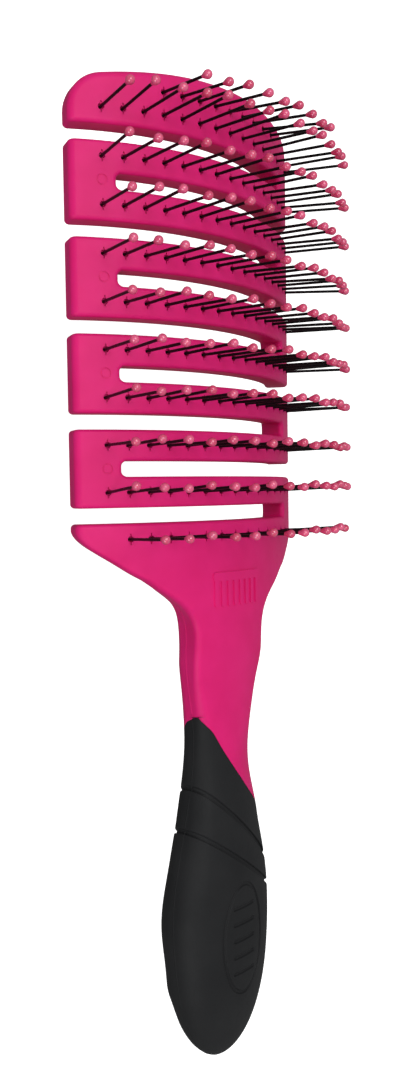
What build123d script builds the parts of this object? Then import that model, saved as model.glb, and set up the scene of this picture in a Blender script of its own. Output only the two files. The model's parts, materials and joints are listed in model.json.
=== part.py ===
from build123d import *

import os
from collections import namedtuple
from math import cos, degrees, hypot, radians, sin, sqrt

# A vented flexible hairbrush, lying on its back. X runs across the brush, +Y towards the tip of the
# head and +Z the way the filaments point. The origin is on the surface that the brush rests on,
# under the middle of its length and width. Millimetres.

os.makedirs("parts", exist_ok=True)

# ---------------------------------------------------------------- driving dimensions

# Head plate: curved across its width about an axis parallel to Y.
FACE_RADIUS = 67.0
PLATE_THICKNESS = 6.6
FACE_HALF_ARC = 43.9
FACE_TOP = 19.0
SIDE_LEAN = 27.0
CROWN_RADIUS = 200.0
CROWN_MARGIN = 11.1
CROWN_CORNER_RADIUS = 9.0
FRONT_EDGE_RADIUS = 2.0
BACK_EDGE_RADIUS = 1.3
SLOT_EDGE_RADIUS = 1.0

# Rows of filaments and the slots between them.
ROW_PITCH = 11.0
BASE_ROW_Y = 13.0
SINGLE_BARS = 8
SLOTS = SINGLE_BARS + 1
SLOT_WIDTH = 3.7
SLOT_CORNER_RADIUS = 1.3
RIGHT_TURN_ARC = 29.0
LEFT_TURN_ARC = 32.2
EXTRA_ROW_PITCH = 5.26
COLUMN_PITCH = 5.18
COLUMNS = 15
BASE_COLUMNS = 13
EXTRA_COLUMNS = 9

# One filament: a headed nylon pin with a ball moulded on its end.
FILAMENT_RADIUS = 0.36
FILAMENT_REACH = 17.1
HEAD_RADIUS = 1.0
HEAD_THICKNESS = 0.7
HEAD_CLEARANCE = 0.25
BALL_RADIUS = 1.05
BALL_NECK = 1.75
BALL_NECK_RADIUS = 0.49
BALL_TANGENT_ANGLE = 20.0
BALL_BORE_RADIUS = 0.37
BALL_BORE_TOP = 0.4
FAN_SHARE = 0.71
ROW_LEANS = (2.1, 3.3, 1.2, 1.1, 0.2, -1.2, -2.0, -0.4, -1.2, 0.5)
EXTRA_ROW_LEAN = -4.6

# Holes and the rear channel that its closing strip fills.
HOLE_RADIUS = 0.4
SOCKET_RADIUS = 0.75
SOCKET_DEPTH = 1.0
NICK_LENGTH = 2.6
NICK_WIDTH = 0.35
NICK_DEPTH = 0.5
CHANNEL_WIDTH = 4.2
CHANNEL_DEPTH = 3.2
CHANNEL_END_ARC = 2.8
STRIP_THICKNESS = 1.9
STRIP_GAP = 0.05
WITNESS_ARC = 36.4
WITNESS_RADIUS = 1.3
WITNESS_LINE = 0.35
WITNESS_DEPTH = 0.2

# Handle: the soft grip lies over a core that is one piece with the neck.
GRIP_WIDEST_Y = -82.0
GRIP_THICKEST_Y = -92.0
HANDLE_END_Y = -123.1
GRIP_HALF_WIDTH = 16.4
GRIP_HALF_THICKNESS = 9.85
GRIP_MID_Z = 10.4
GRIP_END_POWER = 2.25
GRIP_WALL = 2.4
CORE_TOP_Y = -30.0
CORE_END_Y = -113.0
GROOVE_DEPTH = 0.6
GROOVE_WIDTH = 1.1

BIG = 400.0

# ---------------------------------------------------------------- values worked out from them

PLATE_AXIS_Z = FACE_TOP - FACE_RADIUS
PLATE_BACK_Z = FACE_TOP - PLATE_THICKNESS
BACK_RADIUS = FACE_RADIUS - PLATE_THICKNESS
FLOOR_RADIUS = BACK_RADIUS + CHANNEL_DEPTH
FACE_HALF_ANGLE = degrees(FACE_HALF_ARC / FACE_RADIUS)
FACE_HALF_WIDTH = FACE_RADIUS * sin(radians(FACE_HALF_ANGLE))
SEGMENTS = SLOTS + 1
EXTRA_ROW_Y = BASE_ROW_Y + SLOTS * ROW_PITCH + EXTRA_ROW_PITCH
CROWN_TOP_Y = BASE_ROW_Y + SLOTS * ROW_PITCH + CROWN_MARGIN
PLATE_AXIS = Axis((0, 0, PLATE_AXIS_Z), (0, 1, 0))

# One cross-section of the moulding, square to Y. Radii of the front and back are positive where the
# face bulges outwards; the edges are rounded and the side wall leans in towards the back.
Station = namedtuple("Station", "y width top front back bottom front_edge back_edge lean")

SHOULDER = (
    Station(15.0, FACE_HALF_WIDTH, FACE_TOP, FACE_RADIUS, -BACK_RADIUS, PLATE_BACK_Z, 2.0, 1.3, SIDE_LEAN),
    Station(14.2, 40.7, FACE_TOP, FACE_RADIUS, -BACK_RADIUS, PLATE_BACK_Z, 2.0, 1.3, 28.0),
    Station(12.2, 39.7, FACE_TOP, 67.0, -60.6, 12.35, 2.0, 1.3, 32.0),
    Station(10.0, 37.6, FACE_TOP, 67.0, -61.5, 12.25, 2.0, 1.3, 38.0),
    Station(7.2, 33.9, FACE_TOP, 66.0, -63.0, 11.95, 2.1, 1.3, 43.0),
    Station(4.0, 29.4, FACE_TOP, 65.0, -68.0, 11.3, 2.1, 1.4, 44.0),
    Station(0.8, 24.5, FACE_TOP, 63.0, -85.0, 10.2, 2.2, 1.7, 39.0),
    Station(-2.2, 19.6, FACE_TOP, 60.0, -150.0, 9.1, 2.0, 2.2, 30.0),
    Station(-5.2, 15.8, FACE_TOP, 56.0, 300.0, 7.9, 1.8, 2.9, 22.0),
    Station(-9.0, 13.5, 18.95, 52.0, 90.0, 6.9, 1.6, 3.6, 16.0),
    Station(-14.0, 13.0, 18.8, 50.0, 60.0, 6.7, 1.6, 4.2, 14.0),
    Station(-20.0, 12.8, 18.3, 48.0, 48.0, 6.5, 1.8, 4.4, 12.0),
    Station(-28.0, 11.2, 17.6, 38.0, 36.0, 6.2, 2.6, 4.7, 8.0),
    Station(-36.0, 9.8, 17.5, 28.0, 27.0, 5.7, 3.8, 4.8, 4.0),
)

PLATE_START_Y = SHOULDER[0].y

# y, half width, top and bottom of the upper grip.
NECK = (
    (-44.0, 9.4, 17.8, 4.8),
    (-52.0, 10.4, 18.5, 4.0),
    (-60.0, 12.1, 19.3, 3.4),
    (-69.0, 14.1, 19.9, 2.5),
    (-77.0, 15.7, 20.2, 1.5),
)
GRIP_END_STATIONS = (-84.0, -92.0, -100.0, -107.0, -113.0, -117.5, -120.5, -122.3, -123.0)

# Where the soft grip begins, and its two grooves, as lines seen along Z: x, y. The edge has its peak
# on the left side wall. It holds at GRIP_EDGE_Z and slants away towards the back.
GRIP_EDGE_Z = 14.0
GRIP_EDGE_SLANT = 0.14
GRIP_EDGE = (
    (-10.0, -32.3),
    (-9.6, -33.2),
    (-8.7, -34.6),
    (-7.2, -36.4),
    (-5.1, -39.7),
    (0.1, -47.6),
    (8.7, -57.1),
    (18.0, -64.0),
)
GROOVES = (((-9.9, -50.8), (10.0, -69.8)), ((-12.6, -61.0), (12.0, -78.9)))

# Plain relief marks: a comb on the neck, a ribbed oval thumb rest on the grip.
MARK_HEIGHT = 0.35
COMB_CENTRE = (0.5, -1.0)
COMB_SPINE = (18.0, 2.2)
COMB_TOOTH = (1.2, 7.5)
COMB_TEETH = 8
THUMB_CENTRE_Y = -90.0
THUMB_OVAL = (7.6, 14.5)
THUMB_LINE = 0.9
THUMB_RIBS = 5
THUMB_RIB = (8.0, 0.9)
THUMB_RIB_PITCH = 4.2
THUMB_DEPTH = 0.4


# ---------------------------------------------------------------- cross-sections


def crossing(start, direction, centre, distance, last):
    """The point along a line from start that is at a distance from centre: the first or the last."""
    x, z = start[0] - centre[0], start[1] - centre[1]
    half = x * direction[0] + z * direction[1]
    root = sqrt(half * half - (x * x + z * z - distance * distance))
    along = -half + root if last else -half - root
    return (start[0] + along * direction[0], start[1] + along * direction[1])


def towards(centre, through, distance):
    """The point at a distance from centre on the way through another point."""
    x, z = through[0] - centre[0], through[1] - centre[1]
    share = distance / hypot(x, z)
    return (centre[0] + x * share, centre[1] + z * share)


def arc_middle(centre, start, end, radius):
    return towards(centre, ((start[0] + end[0]) / 2, (start[1] + end[1]) / 2), radius)


def right_side(station):
    """The right half's corner points: front end, side's top, side's foot, back end, and arc middles."""
    front_centre = (0.0, station.top - station.front)
    back_centre = (0.0, station.bottom + station.back)
    edge = (station.width, front_centre[1] + sqrt(station.front**2 - station.width**2))
    lean = radians(station.lean)
    down = (-sin(lean), -cos(lean))
    inward = (-cos(lean), sin(lean))

    def offset(radius):
        return (edge[0] + radius * inward[0], edge[1] + radius * inward[1])

    r1, r2 = station.front_edge, station.back_edge
    c1 = crossing(offset(r1), down, front_centre, station.front - r1, False)
    c2 = crossing(offset(r2), down, back_centre, abs(station.back - r2), station.back > 0)
    front_end = towards(front_centre, c1, station.front)
    side_top = (c1[0] - r1 * inward[0], c1[1] - r1 * inward[1])
    side_foot = (c2[0] - r2 * inward[0], c2[1] - r2 * inward[1])
    back_end = towards(back_centre, c2, abs(station.back))
    front_turn = arc_middle(c1, front_end, side_top, r1)
    back_turn = arc_middle(c2, side_foot, back_end, r2)
    return front_end, front_turn, side_top, side_foot, back_turn, back_end


def section_face(station):
    """The closed cross-section of eight edges at one station."""

    def at(point, side=1):
        return Vector(side * point[0], station.y, point[1])

    front_end, front_turn, side_top, side_foot, back_turn, back_end = right_side(station)
    edges = [
        Edge.make_three_point_arc(at(front_end, -1), at((0, station.top)), at(front_end)),
        Edge.make_three_point_arc(at(front_end), at(front_turn), at(side_top)),
        Edge.make_line(at(side_top), at(side_foot)),
        Edge.make_three_point_arc(at(side_foot), at(back_turn), at(back_end)),
        Edge.make_three_point_arc(at(back_end), at((0, station.bottom)), at(back_end, -1)),
        Edge.make_three_point_arc(at(back_end, -1), at(back_turn, -1), at(side_foot, -1)),
        Edge.make_line(at(side_foot, -1), at(side_top, -1)),
        Edge.make_three_point_arc(at(side_top, -1), at(front_turn, -1), at(front_end, -1)),
    ]
    return Face(Wire(edges))


def oval_station(y, width, top, bottom):
    """A neck or grip section: a rounded oval of the given half width and height."""
    half = (top - bottom) / 2
    bulge = 1.15 * width**2 / half
    return Station(y, width, top, bulge, bulge, bottom, 0.75 * half, 0.75 * half, 0.0)


def grip_end_station(y):
    """Past its widest place the grip closes as a full, rounded oval in plan and in side view."""
    along = (y - GRIP_WIDEST_Y) / (HANDLE_END_Y - GRIP_WIDEST_Y)
    deep = min(y - GRIP_THICKEST_Y, 0.0) / (HANDLE_END_Y - GRIP_THICKEST_Y)
    width = GRIP_HALF_WIDTH * sqrt(1 - along**GRIP_END_POWER)
    half = GRIP_HALF_THICKNESS * sqrt(1 - deep**GRIP_END_POWER)
    return oval_station(y, width, GRIP_MID_Z + half, GRIP_MID_Z - half)


def handle_stations():
    return [oval_station(*row) for row in NECK] + [grip_end_station(y) for y in GRIP_END_STATIONS]


def moulding_envelope(inset=0.0):
    """The outside of shoulder, neck and grip in one, or that surface moved inwards by inset."""
    stations = list(SHOULDER) + handle_stations()
    if inset:
        stations = [inset_station(s, inset) for s in stations if CORE_END_Y <= s.y <= CORE_TOP_Y]
    return loft([section_face(s) for s in stations])


def inset_station(station, inset):
    return oval_station(station.y, station.width - inset, station.top - inset, station.bottom + inset)


# ---------------------------------------------------------------- the head plate


def plate_section():
    """The head's cross-section with sharp edges."""
    front_centre = (0.0, PLATE_AXIS_Z)
    edge = (FACE_HALF_WIDTH, PLATE_AXIS_Z + FACE_RADIUS * cos(radians(FACE_HALF_ANGLE)))
    down = (-sin(radians(SIDE_LEAN)), -cos(radians(SIDE_LEAN)))
    foot = crossing(edge, down, front_centre, BACK_RADIUS, False)
    y = PLATE_START_Y
    edges = [
        Edge.make_three_point_arc((-edge[0], y, edge[1]), (0, y, FACE_TOP), (edge[0], y, edge[1])),
        Edge.make_line((edge[0], y, edge[1]), (foot[0], y, foot[1])),
        Edge.make_three_point_arc(
            (foot[0], y, foot[1]), (0, y, PLATE_BACK_Z), (-foot[0], y, foot[1])
        ),
        Edge.make_line((-foot[0], y, foot[1]), (-edge[0], y, edge[1])),
    ]
    return Face(Wire(edges))


def head_plate():
    """The curved plate with its rounded crown, before the slots are cut."""
    blank = extrude(plate_section(), amount=CROWN_TOP_Y + 5 - PLATE_START_Y, dir=(0, 1, 0))
    crown = Pos(0, CROWN_TOP_Y - CROWN_RADIUS, 0) * Cylinder(CROWN_RADIUS, 200)
    plate = blank & crown
    side_edges = [e for e in plate.edges() if is_crown_corner(e)]
    plate = fillet(side_edges, CROWN_CORNER_RADIUS)
    plate = fillet([e for e in plate.edges() if on_radius(e, FACE_RADIUS)], FRONT_EDGE_RADIUS)
    return fillet([e for e in plate.edges() if on_radius(e, BACK_RADIUS)], BACK_EDGE_RADIUS)


def is_crown_corner(edge):
    """True for the two short edges where the crown wall meets a side wall."""
    box = edge.bounding_box()
    return box.min.Y > CROWN_TOP_Y - 20 and box.size.X < 6 and abs(edge.center().X) > 30


def radius_at(point):
    return hypot(point.X, point.Z - PLATE_AXIS_Z)


def on_radius(edge, radius):
    """True for a plate edge that lies on the cylinder of that radius, away from the start plane."""
    ends = [edge.position_at(t) for t in (0.0, 0.5, 1.0)]
    on_cylinder = all(abs(radius_at(p) - radius) < 0.02 for p in ends)
    return on_cylinder and max(p.Y for p in ends) > PLATE_START_Y + 0.01


def slot_y(slot):
    """Slots are counted from the handle; the middle of each lies between two rows."""
    return BASE_ROW_Y + ROW_PITCH * (slot - 0.5)


def opens_left(slot):
    return slot % 2 == 1


def slot_end_x(slot):
    """Where the slot stops and its turn begins."""
    arc = RIGHT_TURN_ARC if opens_left(slot) else -LEFT_TURN_ARC
    return FACE_RADIUS * sin(arc / FACE_RADIUS)


def slot_cutter(slot):
    end = slot_end_x(slot)
    length = 60.0 + abs(end)
    middle = end - length / 2 if opens_left(slot) else end + length / 2
    outline = Pos(middle, slot_y(slot)) * RectangleRounded(length, SLOT_WIDTH, SLOT_CORNER_RADIUS)
    return Pos(0, 0, -50) * extrude(outline, amount=100)


def touches_slot(edge, slot):
    """True for an edge of that slot's walls, apart from the upright ones in its corners."""
    near = [edge.position_at(t) for t in (0.02, 0.5, 0.98)]
    inside = all(abs(p.Y - slot_y(slot)) <= SLOT_WIDTH / 2 + 0.01 for p in near)
    return inside and not is_upright(edge)


def is_upright(edge):
    start, end = edge.position_at(0), edge.position_at(1)
    return abs(start.X - end.X) < 0.01 and abs(start.Y - end.Y) < 0.01


def slotted(body):
    for slot in range(1, SLOTS + 1):
        body = body - slot_cutter(slot)
        edges = [e for e in body.edges() if touches_slot(e, slot)]
        body = fillet(edges, SLOT_EDGE_RADIUS)
    return body


def slab(low_y, high_y):
    return Pos(0, (low_y + high_y) / 2, 0) * Box(BIG, high_y - low_y, BIG)


def on_rest_plane(body):
    """Cuts off what reaches below z = 0, which leaves a narrow flat land along each back edge."""
    return body - Pos(0, 0, -BIG / 2) * Box(BIG, BIG, BIG)


# ---------------------------------------------------------------- filaments


def row_y(row):
    """Row 1 is on the base; row 10 is on the top bar."""
    return BASE_ROW_Y + ROW_PITCH * (row - 1)


def columns(count):
    return [k - (count - 1) / 2 for k in range(count)]


def row_pins(y, count, lean, seed):
    """The place and direction of each pin in a row: an origin on the face's cylinder and a unit vector."""
    pins = []
    for k, column in enumerate(columns(count)):
        angle = column * COLUMN_PITCH / FACE_RADIUS
        fan = FAN_SHARE * angle
        stray = radians(lean + 1.3 * sin(2.1 * k + 3.7 * seed))
        spread = fan + radians(0.9 * sin(4.3 * k + 1.9 * seed))
        foot = Vector(FACE_RADIUS * sin(angle), y, PLATE_AXIS_Z + FACE_RADIUS * cos(angle))
        way = Vector(sin(spread) * cos(stray), sin(stray), cos(spread) * cos(stray))
        pins.append((foot, way, angle))
    return pins


def segment_pins(segment):
    """All pins on one segment: 1 is the base, 10 the top bar, which has an extra short row."""
    count = BASE_COLUMNS if segment == 1 else COLUMNS
    pins = row_pins(row_y(segment), count, ROW_LEANS[segment - 1], segment)
    if segment == SEGMENTS:
        pins += row_pins(EXTRA_ROW_Y, EXTRA_COLUMNS, EXTRA_ROW_LEAN, segment + 1)
    return pins


def pin_plane(foot, way, height):
    """A plane square to the pin, at a height above its point on the face."""
    return Plane(origin=foot + way * height, z_dir=way)


def seat_depth(way, angle):
    """How far down its own line a pin meets the channel's floor."""
    return (FACE_RADIUS - FLOOR_RADIUS) / way.dot(Vector(sin(angle), 0, cos(angle)))


def filament(foot, way, angle):
    """A straight nylon shank with a flat head, which sits just under the channel's floor."""
    depth = seat_depth(way, angle) + HEAD_CLEARANCE
    length = depth + FILAMENT_REACH - BALL_BORE_TOP
    shank = pin_plane(foot, way, length / 2 - depth) * Cylinder(FILAMENT_RADIUS, length)
    head = pin_plane(foot, way, -depth - HEAD_THICKNESS / 2) * Cylinder(HEAD_RADIUS, HEAD_THICKNESS)
    return (shank + head).solid()


def ball_tip():
    """A ball with a tapered neck, bored for the filament's end. The ball's centre is the origin."""
    lean = radians(BALL_TANGENT_ANGLE)
    waist = (BALL_RADIUS * cos(lean), -BALL_RADIUS * sin(lean))
    belly = (BALL_RADIUS * cos(radians(40)), BALL_RADIUS * sin(radians(40)))
    outline = [
        Edge.make_line((BALL_NECK_RADIUS, -BALL_NECK), waist),
        Edge.make_three_point_arc(waist, belly, (0, BALL_RADIUS)),
        Edge.make_line((0, BALL_RADIUS), (0, -BALL_BORE_TOP)),
        Edge.make_line((0, -BALL_BORE_TOP), (BALL_BORE_RADIUS, -BALL_BORE_TOP)),
        Edge.make_line((BALL_BORE_RADIUS, -BALL_BORE_TOP), (BALL_BORE_RADIUS, -BALL_NECK)),
        Edge.make_line((BALL_BORE_RADIUS, -BALL_NECK), (BALL_NECK_RADIUS, -BALL_NECK)),
    ]
    return revolve(Plane.XZ * Face(Wire(outline)), Axis.Z)


def filaments(segment):
    return Compound([filament(*pin) for pin in segment_pins(segment)])


def ball_tips(segment):
    ball = ball_tip()
    pins = segment_pins(segment)
    return Compound([(pin_plane(foot, way, FILAMENT_REACH) * ball).solid() for foot, way, _ in pins])


# ---------------------------------------------------------------- holes, channels and strips


def ring_bar(y, half_arc, width, inner, outer):
    """A bar bent about the plate's axis: part of a ring of rectangular section, centred on x = 0."""
    half_angle = degrees(half_arc / FACE_RADIUS)
    low, high = y - width / 2, y + width / 2
    corners = [(low, inner), (high, inner), (high, outer), (low, outer)]
    outline = Polyline([(0, across, PLATE_AXIS_Z + out) for across, out in corners], close=True)
    section = Face(Wire(outline.edges()))
    ring = revolve(section, PLATE_AXIS, 2 * half_angle)
    return ring.rotate(PLATE_AXIS, -half_angle)


def channel_lines(segment):
    """The y and half arc of each row's rear channel."""
    count = BASE_COLUMNS if segment == 1 else COLUMNS
    lines = [(row_y(segment), channel_half_arc(count))]
    if segment == SEGMENTS:
        lines.append((EXTRA_ROW_Y, channel_half_arc(EXTRA_COLUMNS)))
    return lines


def channel_half_arc(count):
    return (count - 1) / 2 * COLUMN_PITCH + CHANNEL_END_ARC


def channels(segment):
    return [
        ring_bar(y, half_arc, CHANNEL_WIDTH, BACK_RADIUS - 3.0, FLOOR_RADIUS)
        for y, half_arc in channel_lines(segment)
    ]


def rear_strip(segment):
    """Closes the channels behind the filament heads, flush with the plate's back."""
    strips = [
        ring_bar(
            y,
            half_arc - STRIP_GAP,
            CHANNEL_WIDTH - 2 * STRIP_GAP,
            BACK_RADIUS + STRIP_GAP,
            BACK_RADIUS + STRIP_THICKNESS,
        ).solid()
        for y, half_arc in channel_lines(segment)
    ]
    return Compound(strips)


def pin_cutters(segment):
    """For each pin its hole, a shallow round socket and a thin nick across the socket."""
    cutters = []
    for foot, way, angle in segment_pins(segment):
        depth = seat_depth(way, angle) + 0.5
        cutters.append(pin_plane(foot, way, -depth / 2) * Cylinder(HOLE_RADIUS, depth + 1.0))
        socket_height = SOCKET_DEPTH + 1.0
        cutters.append(
            pin_plane(foot, way, socket_height / 2 - SOCKET_DEPTH) * Cylinder(SOCKET_RADIUS, socket_height)
        )
        nick_height = NICK_DEPTH + 1.0
        upright = Plane(origin=foot, x_dir=(cos(angle), 0, -sin(angle)), z_dir=(sin(angle), 0, cos(angle)))
        cutters.append(
            upright * Pos(0, 0, nick_height / 2 - NICK_DEPTH) * Box(NICK_WIDTH, NICK_LENGTH, nick_height)
        )
    return cutters


def drilled(body, segment):
    return body - channels(segment) - pin_cutters(segment)


def witness_ring(slot):
    """The faint round mark that an ejector pin leaves on each left turn, as a ring to cut away."""
    angle = WITNESS_ARC / FACE_RADIUS
    foot = Vector(-FACE_RADIUS * sin(angle), slot_y(slot), PLATE_AXIS_Z + FACE_RADIUS * cos(angle))
    plane = Plane(origin=foot, z_dir=(-sin(angle), 0, cos(angle)))
    height = 2 * WITNESS_DEPTH
    ring = Cylinder(WITNESS_RADIUS, height) - Cylinder(WITNESS_RADIUS - WITNESS_LINE, height)
    return plane * ring


# ---------------------------------------------------------------- handle and grip


def below_grip_edge():
    """Everything on the grip's side of the oblique line where the soft grip begins."""
    start, end = GRIP_EDGE[0], GRIP_EDGE[-1]
    line = Spline(*GRIP_EDGE)
    frame = Polyline(end, (40.0, end[1]), (40.0, -200.0), (-40.0, -200.0), (-40.0, start[1]), start)
    start_y = -(GRIP_EDGE_Z + 50) * GRIP_EDGE_SLANT
    return Pos(0, start_y, -50) * extrude(make_face(line + frame), amount=100, dir=(0, GRIP_EDGE_SLANT, 1))


def groove_slab(groove):
    """A thin upright slab along the groove's line."""
    (x1, y1), (x2, y2) = groove
    plane = Plane(origin=((x1 + x2) / 2, (y1 + y2) / 2, 0), x_dir=(x2 - x1, y2 - y1, 0), z_dir=(0, 0, 1))
    return plane * Box(80.0, GROOVE_WIDTH, 100.0)


def grip_skin(depth):
    """The grip's own envelope, moved inwards by a depth."""
    return loft([section_face(inset_station(s, depth)) for s in list(SHOULDER[-2:]) + handle_stations()])


def thumb_rest():
    """An oval line with short ribs inside it, as a tall cutter above the grip's middle."""
    a, b = THUMB_OVAL
    outline = Ellipse(a, b) - Ellipse(a - THUMB_LINE, b - THUMB_LINE)
    rib_ys = [THUMB_RIB_PITCH * (k - (THUMB_RIBS - 1) / 2) for k in range(THUMB_RIBS)]
    ribs = [Pos(0, y) * SlotOverall(*THUMB_RIB) for y in rib_ys]
    shapes = [outline] + ribs
    return [Pos(0, THUMB_CENTRE_Y, GRIP_MID_Z) * extrude(shape, amount=30) for shape in shapes]


def soft_grip(envelope, below, core):
    grip = (envelope & below) - core
    groove_floor = grip_skin(GROOVE_DEPTH)
    for groove in GROOVES:
        grip = grip - (groove_slab(groove) - groove_floor)
    thumb_floor = grip_skin(THUMB_DEPTH)
    for cutter in thumb_rest():
        grip = grip - (cutter - thumb_floor)
    return grip


def comb_mark():
    """A plain comb in relief on the neck's front: a spine with teeth, cut from a raised skin."""
    raised = [s._replace(top=s.top + MARK_HEIGHT) for s in SHOULDER]
    skin = loft([section_face(s) for s in raised])
    spine_y = COMB_CENTRE[1] + (COMB_TOOTH[1] - COMB_SPINE[1]) / 2 + COMB_SPINE[1] / 2
    pitch = (COMB_SPINE[0] - COMB_SPINE[1]) / (COMB_TEETH - 1)
    outline = Pos(COMB_CENTRE[0], spine_y) * RectangleRounded(*COMB_SPINE, 1.0)
    for k in range(COMB_TEETH):
        x = COMB_CENTRE[0] + pitch * (k - (COMB_TEETH - 1) / 2)
        outline += Pos(x, spine_y - COMB_TOOTH[1] / 2) * RectangleRounded(*COMB_TOOTH, 0.55)
    return (Pos(0, 0, FACE_TOP - 3.0) * extrude(outline, amount=10)) & skin


# ---------------------------------------------------------------- assembly


def head_and_handle():
    """The whole pink moulding with its slots, and the soft grip."""
    envelope = moulding_envelope()
    below = below_grip_edge()
    core = moulding_envelope(inset=GRIP_WALL)
    moulding = (envelope - below) + core + comb_mark()
    grip = soft_grip(envelope, below, core)
    return on_rest_plane(slotted(moulding + head_plate())), on_rest_plane(grip)


def write(name, shape):
    export_step(shape, f"parts/{name}.step")


def main():
    pink, grip = head_and_handle()
    half_slot = SLOT_WIDTH / 2
    write("soft_grip", grip)
    for slot in range(1, SLOTS + 1):
        turn = pink & slab(slot_y(slot) - half_slot, slot_y(slot) + half_slot)
        if not opens_left(slot):
            turn = turn - witness_ring(slot)
        write(f"flex_turn_{slot:02d}", turn)
    for segment in range(1, SEGMENTS + 1):
        low = -BIG / 2 if segment == 1 else slot_y(segment - 1) + half_slot
        high = BIG / 2 if segment == SEGMENTS else slot_y(segment) - half_slot
        write(segment_name(segment), drilled(pink & slab(low, high), segment))
        write(f"rear_strip_{segment:02d}", on_rest_plane(rear_strip(segment)))
        write(f"filaments_{segment:02d}", filaments(segment))
        write(f"ball_tips_{segment:02d}", ball_tips(segment))


def segment_name(segment):
    if segment == 1:
        return "base_and_core"
    return "top_bar" if segment == SEGMENTS else f"bar_{segment - 1:02d}"


main()
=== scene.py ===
import json
from math import cos, radians, sin

import bmesh
import bpy
from mathutils import Matrix, Vector
from mathutils.bvhtree import BVHTree


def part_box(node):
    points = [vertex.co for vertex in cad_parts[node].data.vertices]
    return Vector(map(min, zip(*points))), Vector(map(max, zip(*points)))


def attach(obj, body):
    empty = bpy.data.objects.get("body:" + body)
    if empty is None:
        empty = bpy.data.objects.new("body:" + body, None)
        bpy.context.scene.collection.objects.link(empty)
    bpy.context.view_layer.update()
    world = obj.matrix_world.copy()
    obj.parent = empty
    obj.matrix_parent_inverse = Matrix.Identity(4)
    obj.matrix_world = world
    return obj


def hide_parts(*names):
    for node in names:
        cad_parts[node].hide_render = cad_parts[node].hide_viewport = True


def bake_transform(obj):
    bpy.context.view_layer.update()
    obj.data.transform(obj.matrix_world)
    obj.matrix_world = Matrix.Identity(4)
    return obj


# A vented flexible hairbrush lying on its back: +Y towards the head's tip, +Z the way the filaments
# point. Metres. The CAD nodes carry the shapes; this script gives them their finish, smooths their
# edges, and cuts copies of the living hinges of the head into thin slices.

MM = 0.001
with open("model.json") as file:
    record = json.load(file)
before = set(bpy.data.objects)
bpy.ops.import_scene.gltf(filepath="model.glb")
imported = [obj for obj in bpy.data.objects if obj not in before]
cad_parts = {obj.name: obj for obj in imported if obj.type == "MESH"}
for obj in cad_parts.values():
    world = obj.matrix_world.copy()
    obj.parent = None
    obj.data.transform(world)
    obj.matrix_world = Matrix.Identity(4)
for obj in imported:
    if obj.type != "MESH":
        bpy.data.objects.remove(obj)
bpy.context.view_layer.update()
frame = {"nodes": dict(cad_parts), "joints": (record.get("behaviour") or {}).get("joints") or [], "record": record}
NODES = frame["nodes"]

# ---------------------------------------------------------------- camera, light, floor and backdrop

CAMERA_PLACE = (-201.70 * MM, 24.18 * MM, 185.88 * MM)
CAMERA_YAW = 48.748
CAMERA_PITCH = -2.724
CAMERA_ROLL = -0.860
CAMERA_LENS = 34.76
CAMERA_SENSOR = 36.0
CAMERA_NEAR = 0.01


def camera_matrix(place, yaw, pitch, roll):
    """Yaw turns the view from straight down towards +X, pitch tips it towards +Y, roll turns the picture."""
    forward = Vector((sin(yaw) * cos(pitch), sin(pitch), -cos(yaw) * cos(pitch)))
    right = forward.cross(Vector((0, 1, 0))).normalized()
    up = right.cross(forward)
    turned_right = right * cos(roll) + up * sin(roll)
    turned_up = up * cos(roll) - right * sin(roll)
    matrix = Matrix((turned_right, turned_up, -forward)).transposed().to_4x4()
    matrix.translation = Vector(place)
    return matrix


def make_camera():
    data = bpy.data.cameras.new("camera")
    data.lens = CAMERA_LENS
    data.sensor_width = CAMERA_SENSOR
    data.clip_start = CAMERA_NEAR
    camera = bpy.data.objects.new("camera", data)
    bpy.context.scene.collection.objects.link(camera)
    camera.matrix_world = camera_matrix(
        CAMERA_PLACE, radians(CAMERA_YAW), radians(CAMERA_PITCH), radians(CAMERA_ROLL)
    )
    bpy.context.scene.camera = camera


LIGHT_TARGET = (0, 0, 10.0 * MM)
KEY_PLACE = (-0.42, 0.3, 0.82)
KEY_SIZE = 0.7
KEY_POWER = 4.6
FILL_PLACE = (-0.8, -0.45, 0.25)
FILL_SIZE = 0.6
FILL_POWER = 2.8
WORLD_ABOVE = 0.5
WORLD_BELOW = 0.14


def area_light(name, place, size, power):
    """A round soft light, aimed at the brush."""
    data = bpy.data.lights.new(name, "AREA")
    data.shape = "DISK"
    data.size = size
    data.energy = power
    light = bpy.data.objects.new(name, data)
    bpy.context.scene.collection.objects.link(light)
    light.location = place
    light.rotation_euler = (Vector(LIGHT_TARGET) - Vector(place)).to_track_quat("-Z", "Y").to_euler()


def make_light():
    """A white world, brighter above than below, with a key light and a fill from the left."""
    world = bpy.data.worlds.new("studio")
    bpy.context.scene.world = world
    world.use_nodes = True
    nodes, links = world.node_tree.nodes, world.node_tree.links
    direction = nodes.new("ShaderNodeTexCoord")
    height = nodes.new("ShaderNodeSeparateXYZ")
    level = nodes.new("ShaderNodeMapRange")
    level.inputs["From Min"].default_value = -1.0
    level.inputs["To Min"].default_value = WORLD_BELOW
    level.inputs["To Max"].default_value = WORLD_ABOVE
    links.new(direction.outputs["Generated"], height.inputs["Vector"])
    links.new(height.outputs["Z"], level.inputs["Value"])
    links.new(level.outputs["Result"], nodes["Background"].inputs["Strength"])
    nodes["Background"].inputs["Color"].default_value = (1.0, 1.0, 1.0, 1.0)
    area_light("key", KEY_PLACE, KEY_SIZE, KEY_POWER)
    area_light("fill", FILL_PLACE, FILL_SIZE, FILL_POWER)
    bpy.context.scene.view_settings.view_transform = "Standard"


FLOOR_DROP = 50.0 * MM
FLOOR_HALF = 3.0


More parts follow.
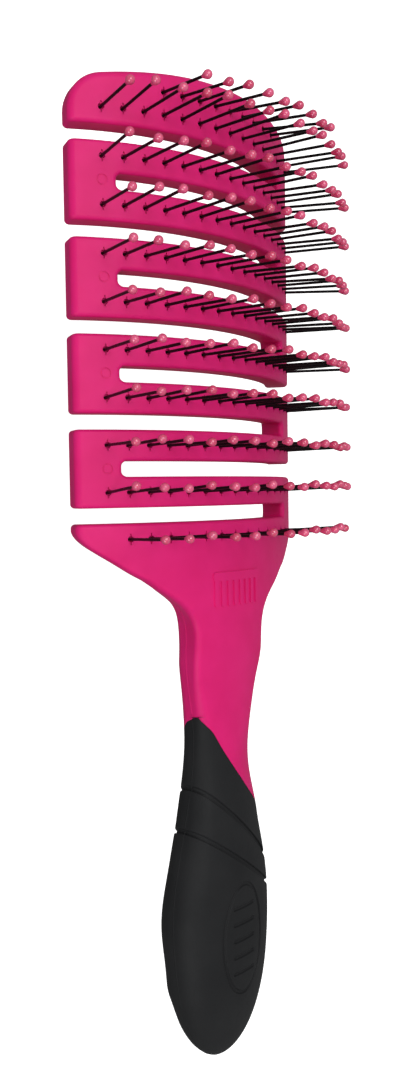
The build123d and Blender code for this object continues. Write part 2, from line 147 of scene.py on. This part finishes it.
def make_floor():
    """A pale sheet below the brush, far enough down to clear the head when it is bent back."""
    mesh = bpy.data.meshes.new("floor")
    half = FLOOR_HALF
    outline = [(-half, -half, 0), (half, -half, 0), (half, half, 0), (-half, half, 0)]
    mesh.from_pydata(outline, [], [(0, 1, 2, 3)])
    floor = bpy.data.objects.new("floor", mesh)
    bpy.context.scene.collection.objects.link(floor)
    floor.location.z = -FLOOR_DROP
    floor.data.materials.append(floor_material())
    floor.visible_diffuse = False
    floor.visible_glossy = False


BACKDROP_RADIUS = 2.8


def make_backdrop():
    """A white shell round the whole set. Only the camera sees it, so it changes no light on the brush."""
    mesh = bpy.data.meshes.new("backdrop")
    work = bmesh.new()
    bmesh.ops.create_uvsphere(work, u_segments=48, v_segments=24, radius=BACKDROP_RADIUS)
    work.to_mesh(mesh)
    work.free()
    backdrop = bpy.data.objects.new("backdrop", mesh)
    bpy.context.scene.collection.objects.link(backdrop)
    backdrop.data.materials.append(backdrop_material())
    backdrop.visible_diffuse = False
    backdrop.visible_glossy = False
    backdrop.visible_transmission = False
    backdrop.visible_shadow = False


# ---------------------------------------------------------------- materials


class Material:
    """A node material with short ways to add nodes and links."""

    def __init__(self, name):
        self.material = bpy.data.materials.new(name)
        self.material.use_nodes = True
        self.tree = self.material.node_tree
        self.shader = self.tree.nodes["Principled BSDF"]

    def node(self, kind, **settings):
        made = self.tree.nodes.new(kind)
        for key, value in settings.items():
            setattr(made, key, value)
        return made

    def link(self, source, target):
        self.tree.links.new(source, target)

    def set(self, **values):
        for name, value in values.items():
            self.shader.inputs[name.replace("_", " ")].default_value = value

    def place(self):
        return self.node("ShaderNodeTexCoord").outputs["Object"]

    def noise(self, scale, detail=2.0, roughness=0.5):
        noise = self.node("ShaderNodeTexNoise")
        noise.inputs["Scale"].default_value = scale
        noise.inputs["Detail"].default_value = detail
        noise.inputs["Roughness"].default_value = roughness
        self.link(self.place(), noise.inputs["Vector"])
        return noise.outputs["Fac"]

    def ramp(self, value, stops):
        """A colour ramp from (position, colour) stops."""
        ramp = self.node("ShaderNodeValToRGB")
        elements = ramp.color_ramp.elements
        while len(elements) < len(stops):
            elements.new(0.5)
        for element, (position, colour) in zip(elements, stops):
            element.position = position
            element.color = (*colour, 1.0)
        self.link(value, ramp.inputs["Fac"])
        return ramp.outputs["Color"]

    def spread(self, value, low, high):
        """Maps a 0 to 1 value to the range from low to high."""
        spread = self.node("ShaderNodeMapRange")
        spread.inputs["To Min"].default_value = low
        spread.inputs["To Max"].default_value = high
        self.link(value, spread.inputs["Value"])
        return spread.outputs["Result"]

    def bump(self, height, distance, strength=1.0, under=None):
        bump = self.node("ShaderNodeBump")
        bump.inputs["Strength"].default_value = strength
        bump.inputs["Distance"].default_value = distance
        self.link(height, bump.inputs["Height"])
        if under is not None:
            self.link(under, bump.inputs["Normal"])
        return bump.outputs["Normal"]


def floor_material():
    """Matt white paper that glows a little, so the brush's shadow on it stays faint."""
    m = Material("floor_paper")
    m.set(Roughness=0.9, Emission_Color=(1.0, 1.0, 1.0, 1.0), Emission_Strength=0.8)
    colour = m.ramp(m.noise(6.0), [(0.3, (0.72, 0.72, 0.72)), (0.7, (0.75, 0.75, 0.75))])
    m.link(colour, m.shader.inputs["Base Color"])
    return m.material


def backdrop_material():
    """Plain white that shows no shading of its own."""
    m = Material("backdrop_white")
    m.set(Base_Color=(0.0, 0.0, 0.0, 1.0), Specular_IOR_Level=0.0)
    m.set(Emission_Color=(1.0, 1.0, 1.0, 1.0), Emission_Strength=1.0)
    return m.material


def pink_plastic():
    """Moulded satin plastic: fine spark-eroded grain, a faint flow mottle in its colour and gloss."""
    m = Material("pink_moulded_plastic")
    mottle = m.noise(90.0, detail=3.0)
    colour = m.ramp(mottle, [(0.3, (0.68, 0.009, 0.15)), (0.7, (0.75, 0.014, 0.18))])
    m.link(colour, m.shader.inputs["Base Color"])
    m.link(m.spread(m.noise(700.0), 0.42, 0.54), m.shader.inputs["Roughness"])
    fine = m.bump(m.noise(3800.0, detail=1.0), 0.03 * MM, 0.5)
    m.link(m.bump(m.noise(260.0), 0.05 * MM, 0.35, under=fine), m.shader.inputs["Normal"])
    m.set(IOR=1.49, Specular_IOR_Level=0.19, Subsurface_Weight=0.06, Subsurface_Scale=0.6 * MM)
    return m.material


def soft_black():
    """Soft-touch elastomer: matt, with a fine bead-blasted skin."""
    m = Material("soft_touch_black")
    mottle = m.noise(60.0, detail=4.0)
    colour = m.ramp(mottle, [(0.3, (0.013, 0.0135, 0.0145)), (0.72, (0.018, 0.0185, 0.0195))])
    m.link(colour, m.shader.inputs["Base Color"])
    m.link(m.spread(m.noise(420.0, detail=3.0), 0.5, 0.66), m.shader.inputs["Roughness"])
    fine = m.bump(m.noise(3000.0, detail=1.0), 0.04 * MM, 0.6)
    m.link(fine, m.shader.inputs["Normal"])
    m.set(IOR=1.5, Specular_IOR_Level=0.14)
    return m.material


def black_nylon():
    """Drawn nylon monofilament: glossy black with fine lengthwise variation."""
    m = Material("black_nylon_filament")
    colour = m.ramp(m.noise(500.0), [(0.3, (0.003, 0.003, 0.0035)), (0.7, (0.006, 0.006, 0.0065))])
    m.link(colour, m.shader.inputs["Base Color"])
    m.link(m.spread(m.noise(900.0), 0.22, 0.36), m.shader.inputs["Roughness"])
    m.link(m.bump(m.noise(2500.0), 0.01 * MM, 0.4), m.shader.inputs["Normal"])
    m.set(IOR=1.53, Specular_IOR_Level=0.1)
    return m.material


def tip_resin():
    """Glossy pink resin ball: each one a slightly different shade, with a little light inside it."""
    m = Material("pink_ball_tip")
    island = m.node("ShaderNodeNewGeometry").outputs["Random Per Island"]
    colour = m.ramp(island, [(0.0, (0.62, 0.05, 0.14)), (1.0, (0.76, 0.1, 0.23))])
    m.link(colour, m.shader.inputs["Base Color"])
    m.link(m.spread(m.noise(1500.0), 0.1, 0.2), m.shader.inputs["Roughness"])
    m.link(m.bump(m.noise(1800.0), 0.02 * MM, 0.3), m.shader.inputs["Normal"])
    m.set(IOR=1.55, Specular_IOR_Level=0.9, Subsurface_Weight=0.2, Subsurface_Scale=0.8 * MM)
    return m.material


MATERIALS = {
    "pink_body": pink_plastic(),
    "soft_black": soft_black(),
    "black_nylon": black_nylon(),
    "tip_resin": tip_resin(),
}
SLOT_OF_NODE = {part["node"]: part["material_slot"] for part in frame["record"]["subparts"]}


def paint(piece, slot):
    piece.data.materials.clear()
    piece.data.materials.append(MATERIALS[slot])


# ---------------------------------------------------------------- smooth edges on the CAD nodes

WELD_DISTANCE = 0.005 * MM
SHARP_ANGLE = 38.0
ROUNDED = {"soft_grip": 0.25 * MM}
ROUNDING_STEPS = 3


def smooth_edges(piece, rounding=0.0):
    """Joins the tessellated faces, rounds sharp edges if asked, and spreads the normals evenly."""
    weld = piece.modifiers.new("weld", "WELD")
    weld.merge_threshold = WELD_DISTANCE
    if rounding:
        bevel = piece.modifiers.new("rounding", "BEVEL")
        bevel.width = rounding
        bevel.segments = ROUNDING_STEPS
        bevel.limit_method = "ANGLE"
        bevel.angle_limit = radians(SHARP_ANGLE)
        bevel.use_clamp_overlap = False
    split = piece.modifiers.new("sharp", "EDGE_SPLIT")
    split.split_angle = radians(SHARP_ANGLE)
    normal = piece.modifiers.new("normals", "WEIGHTED_NORMAL")
    normal.mode = "FACE_AREA"
    normal.keep_sharp = False


# ---------------------------------------------------------------- the turns, copied and cut into slices

TURN_CUTS = 7


def bending_turn(joint):
    """A copy of the turn's CAD shape, cut into thin slices along Y."""
    node = joint["deforming_nodes"][0]["node"]
    low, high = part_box(node)
    mesh = NODES[node].data.copy()
    piece = bpy.data.objects.new(f"bending_{node}", mesh)
    bpy.context.scene.collection.objects.link(piece)
    work = bmesh.new()
    work.from_mesh(mesh)
    bmesh.ops.remove_doubles(work, verts=work.verts, dist=WELD_DISTANCE)
    for cut in range(1, TURN_CUTS + 1):
        y = low.y + (high.y - low.y) * cut / (TURN_CUTS + 1)
        everything = list(work.verts) + list(work.edges) + list(work.faces)
        bmesh.ops.bisect_plane(work, geom=everything, plane_co=(0, y, 0), plane_no=(0, 1, 0))
    work.to_mesh(mesh)
    work.free()
    mesh.shade_smooth()
    paint(piece, "pink_body")
    smooth_edges(piece)
    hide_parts(node)
    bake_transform(piece)


# ---------------------------------------------------------------- the mould's parting line

LINE_HALF_WIDTH = 0.2 * MM
LINE_TOP_HALF_WIDTH = 0.08 * MM
LINE_HEIGHT = 0.08 * MM
LINE_SUNK = 0.05 * MM
LINE_START_Y = -4.0 * MM
LINE_TURN_Y = -92.0 * MM
LINE_STEP = 1.0 * MM
LINE_TURN_STEPS = 40
NECK_HEIGHT = (-34.0 * MM, 12.2 * MM)
GRIP_HEIGHT = (-75.0 * MM, 10.6 * MM)
FAR_OUT = 80.0 * MM


def line_height(y):
    """The height of the parting line: it drops a little from the neck to the grip."""
    (neck_y, neck_z), (grip_y, grip_z) = NECK_HEIGHT, GRIP_HEIGHT
    share = min(max((y - neck_y) / (grip_y - neck_y), 0.0), 1.0)
    return neck_z + share * (grip_z - neck_z)


def line_rays(side):
    """Rays from outside towards the handle: square to it along its side, then fanned round its end."""
    steps = int((LINE_START_Y - LINE_TURN_Y) / LINE_STEP)
    for step in range(steps):
        y = LINE_START_Y - step * LINE_STEP
        yield Vector((side * FAR_OUT, y, line_height(y))), Vector((-side, 0, 0))
    for step in range(LINE_TURN_STEPS):
        angle = radians(90.0 * step / LINE_TURN_STEPS)
        inward = Vector((-side * cos(angle), sin(angle), 0))
        yield Vector((0, LINE_TURN_Y, GRIP_HEIGHT[1])) - FAR_OUT * inward, inward


def surface_tree(names):
    """A search tree over some CAD nodes' surfaces, and for each of its faces the node's name."""
    vertices, faces, owners = [], [], []
    for name in names:
        first = len(vertices)
        mesh = NODES[name].data
        vertices += [vertex.co.copy() for vertex in mesh.vertices]
        faces += [[first + index for index in face.vertices] for face in mesh.polygons]
        owners += [name] * len(mesh.polygons)
    return BVHTree.FromPolygons(vertices, faces), owners


def raised_line(name, points, normals, slot):
    """A low closed bead along points on a surface."""
    work = bmesh.new()
    rings = []
    for index, (point, normal) in enumerate(zip(points, normals)):
        along = (points[min(index + 1, len(points) - 1)] - points[max(index - 1, 0)]).normalized()
        across = along.cross(normal).normalized()
        low, high = point - LINE_SUNK * normal, point + LINE_HEIGHT * normal
        corners = [
            low - LINE_HALF_WIDTH * across,
            high - LINE_TOP_HALF_WIDTH * across,
            high + LINE_TOP_HALF_WIDTH * across,
            low + LINE_HALF_WIDTH * across,
        ]
        rings.append([work.verts.new(corner) for corner in corners])
    for ring, following in zip(rings, rings[1:]):
        for k in range(4):
            work.faces.new((ring[k], ring[(k + 1) % 4], following[(k + 1) % 4], following[k]))
    work.faces.new(rings[0])
    work.faces.new(reversed(rings[-1]))
    bmesh.ops.recalc_face_normals(work, faces=work.faces)
    mesh = bpy.data.meshes.new(name)
    work.to_mesh(mesh)
    work.free()
    mesh.shade_smooth()
    piece = bpy.data.objects.new(name, mesh)
    bpy.context.scene.collection.objects.link(piece)
    paint(piece, slot)
    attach(piece, "handle")


def parting_lines():
    """The thin line that the mould's halves leave along both sides of the neck and the grip."""
    tree, owners = surface_tree(["base_and_core", "soft_grip"])
    for side, side_name in ((-1, "left"), (1, "right")):
        stretches = {"base_and_core": [], "soft_grip": []}
        for origin, inward in line_rays(side):
            point, normal, face, _ = tree.ray_cast(origin, inward)
            stretches[owners[face]].append((point, normal))
        for node, stretch in stretches.items():
            points = [point for point, _ in stretch]
            normals = [normal for _, normal in stretch]
            raised_line(f"parting_line_{node}_{side_name}", points, normals, SLOT_OF_NODE[node])


# ---------------------------------------------------------------- assembly

make_camera()
make_light()
make_floor()
make_backdrop()
turning = {joint["deforming_nodes"][0]["node"] for joint in frame["joints"]}
for name, node in NODES.items():
    if name not in turning:
        paint(node, SLOT_OF_NODE[name])
        smooth_edges(node, ROUNDED.get(name, 0.0))
for joint in frame["joints"]:
    bending_turn(joint)
parting_lines()


def corners(box):
    return [list(corner) for corner in box]
